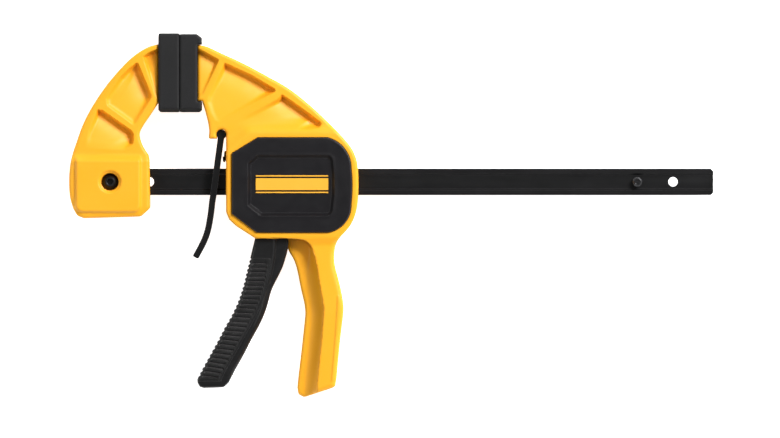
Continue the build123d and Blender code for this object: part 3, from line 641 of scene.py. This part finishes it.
# ------------------------------------------------------------------ fixed jaw
foot_left = [(-21.57, 25.15), (-24.2, 17.15), (-25.7, 9.79), (-26.25, 1.0), (-26.1, -5.25), (-25.4, -11.0), (-23.4, -17.6)]
arm_outer = [(30.9, 88.1), (26.2, 86.9), (20.5, 84.2), (13.4, 79.1), (5.76, 71.4), (-0.64, 63.9), (-6.4, 56.0),
             (-12.8, 45.8), (-17.9, 35.5), (-21.57, 25.15)]
arm_inner = [(24.51, 17.47), (21.1, 22.7), (19.2, 27.8), (18.9, 30.9), (20.2, 34.4), (24.3, 40.7), (29.9, 49.3)]
fixed_poly = spl(arm_outer) + spl(foot_left)[1:] \
    + rounded([(-23.4, -17.6), (-20.9, -21.8), (-16.6, -23.4), (19.6, -22.3), (25.6, -16.8), (25.3, 13.95), (24.51, 17.47)],
              [0, 3, 3, 3, 3, 3, 0], closed=False)[1:] + spl(arm_inner)[1:] + [(30.9, 50.9)]
fixed_ring = resample(fixed_poly, 0.6)
foot_poly = [(-40, 17.0), (40, 17.0), (40, -40), (-40, -40)]
panel_poly = rounded([(-22.9, 30.0), (-22.9, -20.3), (20.6, -20.3), (20.6, 30.0)], [0, 5.5, 5.5, 0])
fa = rounded([(20.9, 80.2), (25.0, 83.2), (33.0, 86.4), (33.0, 52.0), (28.6, 54.6)], [1.0, 3, 0, 0, 0.6])
fb = rounded([(17.6, 77.4), (27.2, 54.6), (25.6, 51.4), (17.2, 38.0), (15.0, 36.0), (-2.2, 48.6), (-3.0, 53.6), (6.3, 67.6)], [1.6, 2, 0, 2, 1.5, 1.6, 4, 0])
fc = rounded([(-8.2, 46.4), (-5.0, 46.2), (14.0, 33.0), (15.4, 30.6), (15.2, 24.4), (10.0, 19.6), (-17.0, 19.6), (-14.0, 33.0)], [1.2, 1.0, 1.4, 1.2, 2, 2, 2, 2])
fa_line = [(20.9, 80.2), (25.0, 83.2), (33.0, 86.4)]
fb_line = [(11.5, 73.2), (17.6, 77.4), (25.0, 59.8)]
fc_line = [(-8.2, 46.4), (-5.0, 46.2), (14.0, 33.0), (15.4, 30.6), (15.2, 24.4)]


def fixed_height(P):
    x, y = P[:, 0], P[:, 1]
    d = np.maximum(sdf(fixed_ring, P), 0)
    z = 30.0 + 1.8 * smooth((18.5 - y) / 6.0)
    z += 2.1 * smooth(sdf(panel_poly, P) / 1.9) * smooth((22.6 - x) / 4.4) * smooth((17.6 - y) / 5.0)
    z -= scoop(P, fa, fa_line, 2.7, 2.8, 36.0, span=8.0, soft=1.9)
    z -= 1.0 * smooth(sdf(fb, P) / 2.2) + scoop(P, fb, fb_line, 2.4, 2.7, 34.0, span=9.0, soft=3.4)
    z -= scoop(P, fc, fc_line, 2.6, 3.4, 26.0, span=8.0, soft=3.0) * smooth((y - 18.5) / 10.0)
    # soft dish round the screw
    rr = np.hypot(x, y)
    z -= 1.5 * smooth((7.7 - rr) / 1.9)
    r = np.where(y < 12, 2.0, 1.6)
    return np.where(d < 3, np.minimum(z, 99), z) - edge_round(d, r)


ffeat = [(p, RINGS) for p in (fa, fb, fc)] + [(panel_poly, (0.0, 0.5, 0.95, 1.4, 1.9)), (circle(0, 0, 7.7), (0.0, 0.45, 0.95, 1.4))]
fix = relief("fixed_jaw_moulding", fixed_poly, fixed_height, r=1.8, step=0.7, features=ffeat, body=body_of["fixed_jaw"], edge=0.6)
carve(fix, [
    prism("d1", rect(-30, 30, -8.55, 8.55), ZM - 3.05, ZM + 3.05),
    prism("d2", circle(0, 0, 3.2), -2, 40), prism("d3", circle(0, 0, 5.7), 28.5, 40),
    prism("d4", [(5.1 / math.cos(math.pi / 6) * math.cos(math.pi / 3 * k), 5.1 / math.cos(math.pi / 6) * math.sin(math.pi / 3 * k)) for k in range(6)], -2, 7.0),
])
stands_for(fix, "fixed_jaw", 50)

# ------------------------------------------------------------------ covers
recess = rounded([(88.2, 12.0), (94.0, 17.2), (142.4, 17.2), (143.9, 3.0), (143.9, -8.0), (142.2, -21.9), (96.6, -21.9), (88.2, -15.2)],
                 [1.5, 1.5, 4.0, 20, 20, 4.0, 1.5, 1.5])


def cover_height(P):
    d = np.maximum(sdf(cover_ring, P), 0)
    s = sdf(recess, P)
    t = np.clip(s / 2.0, 0, 1)
    lip = 0.16 * np.exp(-((s + 0.35) / 0.45) ** 2)
    return 34.0 - 0.18 + lip - 2.4 * (0.3 * smooth(t) + 0.7 * t) - edge_round(d, 0.9)


cover_ring = resample(cover_poly, 0.7)
front = relief("front_cover_shell", cover_poly, cover_height, r=0.9, step=1.1, features=[(recess, (-1.0, -0.35, 0.0, 0.3, 1.0, 1.7, 2.0))],
               body=body_of["front_cover"], edge=0.7, back=lambda V: np.full(len(V), 29.4))


def mirrored(o, name, body):
    mesh = o.data.copy()
    mesh.name = name
    co = np.zeros(len(mesh.vertices) * 3)
    mesh.vertices.foreach_get("co", co)
    co[2::3] = 2 * ZM * MM - co[2::3]
    mesh.vertices.foreach_set("co", co)
    mesh.flip_normals()
    q = bpy.data.objects.new(name, mesh)
    bpy.context.scene.collection.objects.link(q)
    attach(q, body)
    return q


rear = mirrored(front, "back_cover_shell", body_of["back_cover"])
stands_for(front, "front_cover", 24)
stands_for(rear, "back_cover", 24)

# ------------------------------------------------------------------ pads
pad_f = rounded([(30.92, 95.1), (44.45, 95.1), (44.45, 44.6), (32.2, 44.6), (30.92, 46.0)], [1.2, 0.9, 0.9, 1.0, 1.0], seg=0.3)
pad_m = rounded([(44.55, 94.6), (55.6, 94.6), (58.7, 92.2), (58.7, 87.85), (56.02, 87.85), (56.02, 51.55), (58.7, 51.55), (58.7, 46.0), (57.2, 44.6), (44.55, 44.6)],
                [0.9, 1.0, 1.0, 0.4, 0.3, 0.3, 0.4, 1.0, 1.0, 0.9], seg=0.3)


def pad_height(ring):
    def f(P):
        d = np.maximum(sdf(ring, P), 0)
        z = 32.0 - edge_round(d, 1.3)
        return np.minimum(z, 32.0 - 1.15 * np.clip(46.8 - P[:, 1], 0, 2.2))
    return f


for name, poly in (("fixed_pad", pad_f), ("movable_pad", pad_m)):
    ring = resample(poly, 0.5)
    band = rect(20, 70, 30, 46.8)
    o = relief(name + "_moulding", poly, pad_height(ring), r=1.3, step=1.0, features=[(band, (-0.25, 0.0, 0.25))], body=body_of[name], edge=0.5)
    stands_for(o, name, 30)

# ------------------------------------------------------------------ trigger
trig_left = [(92.6, -36.6), (90.9, -43.7), (89.0, -51.3), (87.0, -59.0), (85.1, -66.7), (83.5, -71.8), (81.7, -76.9),
             (79.4, -82.0), (76.8, -87.2), (73.8, -92.3), (69.8, -100.0), (65.6, -107.7), (61.4, -115.3), (57.3, -123.0), (55.8, -126.2)]
trig_right = [(114.3, -37.9), (113.6, -43.7), (112.3, -48.8), (110.7, -53.9), (108.4, -59.0), (105.8, -64.1), (103.4, -69.3),
              (101.9, -74.4), (100.5, -79.5), (98.8, -84.6), (96.6, -89.7), (93.9, -94.9), (89.7, -102.5), (85.8, -110.2),
              (81.5, -117.9), (77.4, -125.6), (75.8, -128.8)]
border = [(100.9, -49.0), (100.6, -54.0), (99.9, -60.0), (98.5, -67.0), (94.2, -80.0), (88.2, -92.0), (80.2, -106.4), (71.6, -122.0), (69.2, -127.0)]
TZ0, TZ1 = 6.0, 28.0
left_line = spl(trig_left, 0.4)
LY_ = np.array([p[1] for p in left_line])[::-1]
LX_ = np.array([p[0] for p in left_line])[::-1]
border = [(x + 1.9, y) for x, y in border]
border_line = spl(border, 0.4)
BY_ = np.array([p[1] for p in border_line])[::-1]
BX_ = np.array([p[0] for p in border_line])[::-1]


def x_left(y):
    return np.interp(y, LY_, LX_)


def x_border(y):
    return np.interp(y, BY_, BX_)


def rib_slope(y):
    return 0.13 * np.clip((-62.0 - y) / 55.0, 0, 1)


PITCH, RIB0 = 2.86, -50.9


def rib_groove(u):
    # 0 on a rib, 1 in the groove; u in mm along the pitch
    k = (u - RIB0) / PITCH
    k = np.abs(k - np.round(k)) * PITCH
    return smooth((k - 0.52) / 0.55)


trig_poly = left_line + rounded([(55.8, -126.2), (55.9, -128.6), (57.4, -131.2), (60.0, -132.0), (72.8, -131.6), (75.8, -128.8)],
                                [0, 1.5, 1.5, 2, 2.5, 0], closed=False)[1:] \
    + spl(list(reversed(trig_right)))[1:] + [(111.6, -19.0), (104.5, -15.5), (103.6, -14.2), (104.2, -5.0), (105.9, -3.33)] \
    + arc3((105.9, -3.33), (107.7, 0.0), (106.6, 2.755))[1:] + [(106.6, 11.8), (108.9, 16.6)] \
    + arc3((108.9, 16.6), (103.7, 24.87), (97.95, 18.6))[1:] + [(94.6, -20.0)]
trig_ring = resample(trig_poly, 0.6)
rear_line = spl([(105.6, -28.0), (105.6, -40.0), (105.0, -48.0), (103.9, -55.0), (102.4, -62.0), (100.9, -68.0), (99.4, -74.0), (98.0, -79.5),
                 (96.3, -84.6), (94.1, -89.7), (91.5, -94.9), (87.3, -102.5), (83.4, -110.2), (79.1, -117.9), (75.2, -125.2)])
rear_region = rear_line + [(90.0, -132.0), (130.0, -70.0), (125.0, -28.0)]


def trig_height(P):
    y = P[:, 1]
    d = np.maximum(sdf(trig_ring, P), 0)
    s = sdf(rear_region, P)
    fade = smooth((-126.0 - y) / -4.0) * smooth((-32.0 - y) / 3.0)
    z = 27.75 - 0.9 * smooth(s / 0.7) * fade
    z += 0.25 * np.exp(-((s + 0.45) / 0.45) ** 2) * fade
    return z - edge_round(d, np.where(y < -42, 1.9, 0.9))


body_t = relief("trigger_lever", trig_poly, trig_height, r=1.9, step=0.8, features=[(rear_region, (-1.2, -0.8, -0.45, -0.15, 0.15, 0.4, 0.7))],
                body=body_of["trigger"], edge=0.6)


def grip_poly(dx, db, bottom):
    # area under the ribbed skin: left side moved in by dx, border moved out by db
    left = [(x + dx, y) for x, y in left_line if y < -48.9 and y > bottom + 2.5]
    right = [(x + db, y) for x, y in reversed(border_line) if y > bottom + 1.0]
    return [(x_left(-48.9) + dx, -48.9)] + left + rounded([left[-1], (left[-1][0] - 0.4, bottom), (right[0][0], bottom), right[0]], [0, 1.2, 0.8, 0], closed=False)[1:-1] + right


GB = -127.6
carve(body_t, [prism("t1", grip_poly(-3.0, 0.06, GB - 0.06), -1, 40)])
carve(body_t, [prism("t2", grip_poly(1.8, 0.6, GB + 1.8), TZ0 + 1.4, TZ1 - 1.4)], "UNION")
chan = [(x + 4.6, y + 0.5) for x, y in left_line] + [(63.0, -127.6), (80.0, -127.6), (120.0, -60.0), (120.0, -14.0), (96.0, -14.0)]
carve(body_t, [prism("t3", chan, 11.5, 22.5), prism("t4", rect(88, 118, -14.05, 30.05), 11.5, 22.5), prism("t5", circle(103.7, 19.1, 2.55, 40), -1, 40)])
stands_for(body_t, "trigger", 45)

# ribbed skin: teeth along the front edge, ribs on both faces
teeth = []
for x, y in spl([p for p in trig_left], 0.25):
    if -49.2 > y > GB + 3.2:
        teeth.append((x + 0.75 * float(rib_groove(np.array([y]))[0]), y))
end = [(x, y) for x, y in left_line if y <= GB + 3.2 and y > GB + 1.6]
right = [(x, y) for x, y in reversed(border_line) if y > GB + 1.0]
skin_poly = [(x_left(-48.9) + 0.3, -48.9)] + teeth + end \
    + rounded([end[-1], (end[-1][0] - 0.4, GB), (right[0][0], GB), right[0]], [0, 1.2, 0.8, 0], closed=False)[1:-1] + right
skin_ring = resample(skin_poly, 0.35)


def skin_height(P):
    x, y = P[:, 0], P[:, 1]
    d = np.maximum(sdf(skin_ring, P), 0)
    front_d = np.maximum(sdf(trig_ring, P), 0)
    xl, xb = x_left(y), x_border(y)
    sl = (x - xl) * 0.9
    sb = (xb - x) * 0.92
    mask = smooth((sl - 1.9) / 0.5) * smooth((sb - 1.7) / 0.5) * smooth((-49.9 - y) / 0.5) * smooth((y + 125.6) / 0.6)
    # rounded upper corner of the ribbed field
    cx, cy = 98.6, -52.2
    corner = (x > cx) & (y > cy)
    mask = np.where(corner, np.minimum(mask, smooth((2.0 - np.hypot(x - cx, y - cy)) / 0.5)), mask)
    u = y + rib_slope(y) * (x - xl)
    z = 27.8 - mask * (0.15 + 0.85 * rib_groove(u)) + 0.2 * np.exp(-((sb - 1.15) / 0.4) ** 2)
    return z - edge_round(front_d, 2.2) - edge_round(d, 0.3)


pts = []
for k in range(-1, 28):
    for off in (-1.1, -0.85, -0.6, 0.0, 0.6, 0.85, 1.1, 1.43):
        y0 = RIB0 - PITCH * k + off
        if not (-126.6 < y0 < -49.4):
            continue
        xl, xb = float(x_left(y0)), float(x_border(y0))
        # follow the slanting rib line
        xs = list(np.arange(xl + 2.9, xb - 2.7, 0.8)) + [xl + v / 0.9 for v in (1.9, 2.15, 2.4)] + [xb - v / 0.92 for v in (0.7, 1.15, 1.7, 1.95, 2.2)]
        for x in xs:
            y = y0 - float(rib_slope(y0)) * (x - xl)
            pts.append((x, y))
skin = relief("trigger_grip_skin", skin_poly, skin_height, r=0.5, step=0.9, features=[(trig_poly, (0.31, 0.8, 1.4, 2.3))],
              body=body_of["trigger_grip"], edge=0.35, extra=np.array(pts))
carve(skin, [prism("s1", grip_poly(1.8, 1.0, GB + 1.8), TZ0 + 1.4, TZ1 - 1.4)])
stands_for(skin, "trigger_grip", 40)

# ------------------------------------------------------------------ machined and pressed pieces: as drawn in CAD, with clean shading
for n, z0, z1 in (("front_badge", 31.4, 32.1), ("back_badge", 1.9, 2.6)):
    for k, (y0, y1) in enumerate(((3.35, 4.2), (-5.3, 2.3), (-7.2, -6.35))):
        o = prism("%s_bar_%d" % (n, k), rounded(rect(93.3, 139.7, y0, y1), 0.3, seg=0.1), z0, z1, body_of[n])
        stands_for(o, n, 28)
for n in ("bar", "jaw_screw", "jaw_nut", "brake_lever", "bar_stop_pin", "trigger_pin",
          "drive_plate_front", "drive_plate_rear", "drive_spring", "brake_spring"):
    src = nodes[n]
    mesh = src.data.copy()
    mesh.name = n + "_look"
    o = bpy.data.objects.new(n + "_look", mesh)
    bpy.context.scene.collection.objects.link(o)
    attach(o, body_of[n])
    bm = bmesh.new()
    bm.from_mesh(mesh)
    bmesh.ops.remove_doubles(bm, verts=bm.verts, dist=1e-7)
    bm.to_mesh(mesh)
    bm.free()
    if mesh.has_custom_normals:
        mesh.free_normals_split() if hasattr(mesh, "free_normals_split") else mesh.attributes.remove(mesh.attributes["custom_normal"])
    stands_for(o, n, 28)

# the two coil springs each get a mesh of their own
bpy.context.view_layer.update()
for n, joint, end, travel in (("drive_spring", "drive_plates_push", -0.0282, 0.004), ("brake_spring", "brake_release", -0.0985, 0.0024)):
    o = bpy.data.objects[n + "_look"]
    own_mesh(o)

# ------------------------------------------------------------------ stage
def floor_material():
    m, nt, b = material("pale_floor")
    v = coords(nt)
    nt.links.new(ramp(nt, noise(nt, v, 3, 3), [(0.3, (0.86, 0.86, 0.86)), (0.7, (0.89, 0.89, 0.89))]), b.inputs["Base Color"])
    b.inputs["Roughness"].default_value = 0.9
    b.inputs["Emission Color"].default_value = (1, 1, 1, 1)
    b.inputs["Emission Strength"].default_value = 0.9
    return m


floor_mesh = bpy.data.meshes.new("floor")
floor_mesh.from_pydata([(-6, -6, -0.0002), (6, -6, -0.0002), (6, 6, -0.0002), (-6, 6, -0.0002)], [], [(0, 1, 2, 3)])
floor = bpy.data.objects.new("floor", floor_mesh)
floor_mesh.materials.append(floor_material())
bpy.context.scene.collection.objects.link(floor)


def area_light(name, pos, target, size, power, color=(1, 1, 1)):
    l = bpy.data.lights.new(name, "AREA")
    l.shape = "RECTANGLE"
    l.size, l.size_y = size
    l.energy = power
    l.color = color
    o = bpy.data.objects.new(name, l)
    o.location = pos
    o.rotation_euler = (Vector(target) - Vector(pos)).to_track_quat("-Z", "Y").to_euler()
    bpy.context.scene.collection.objects.link(o)
    return o


area_light("key", (1.12, 1.0, 1.42), (0, 0, 0), (0.8, 0.8), 59)
area_light("fill", (-1.3, 0.3, 1.5), (0, 0, 0), (1.0, 1.0), 7)
area_light("low", (0.2, -1.7, 0.55), (0, 0, 0.01), (1.8, 0.3), 4)
bpy.context.scene.view_settings.view_transform = "Standard"
world = bpy.data.worlds.new("studio")
world.use_nodes = True
wt = world.node_tree
wc = wt.nodes.new("ShaderNodeTexCoord")
wx = wt.nodes.new("ShaderNodeSeparateXYZ")
wt.links.new(wc.outputs["Generated"], wx.inputs[0])
sky = wt.nodes.new("ShaderNodeMapRange")
for k, v in zip(("From Min", "From Max", "To Min", "To Max"), (0.10, 0.60, 0.66, 0.23)):
    sky.inputs[k].default_value = v
wt.links.new(wx.outputs["Z"], sky.inputs["Value"])
wt.nodes["Background"].inputs[0].default_value = (1, 1, 1, 1)
wt.links.new(sky.outputs[0], wt.nodes["Background"].inputs[1])
bpy.context.scene.world = world

cam = bpy.data.cameras.new("camera")
cam.sensor_width = 36.0
cam.lens = cam.sensor_width * (12.0 - 0.030) / 0.4992
cam.clip_start = 0.5
cam.clip_end = 60
camera = bpy.data.objects.new("camera", cam)
camera.location = (-0.0008, -0.0023, 12.0)
bpy.context.scene.collection.objects.link(camera)
bpy.context.scene.camera = camera
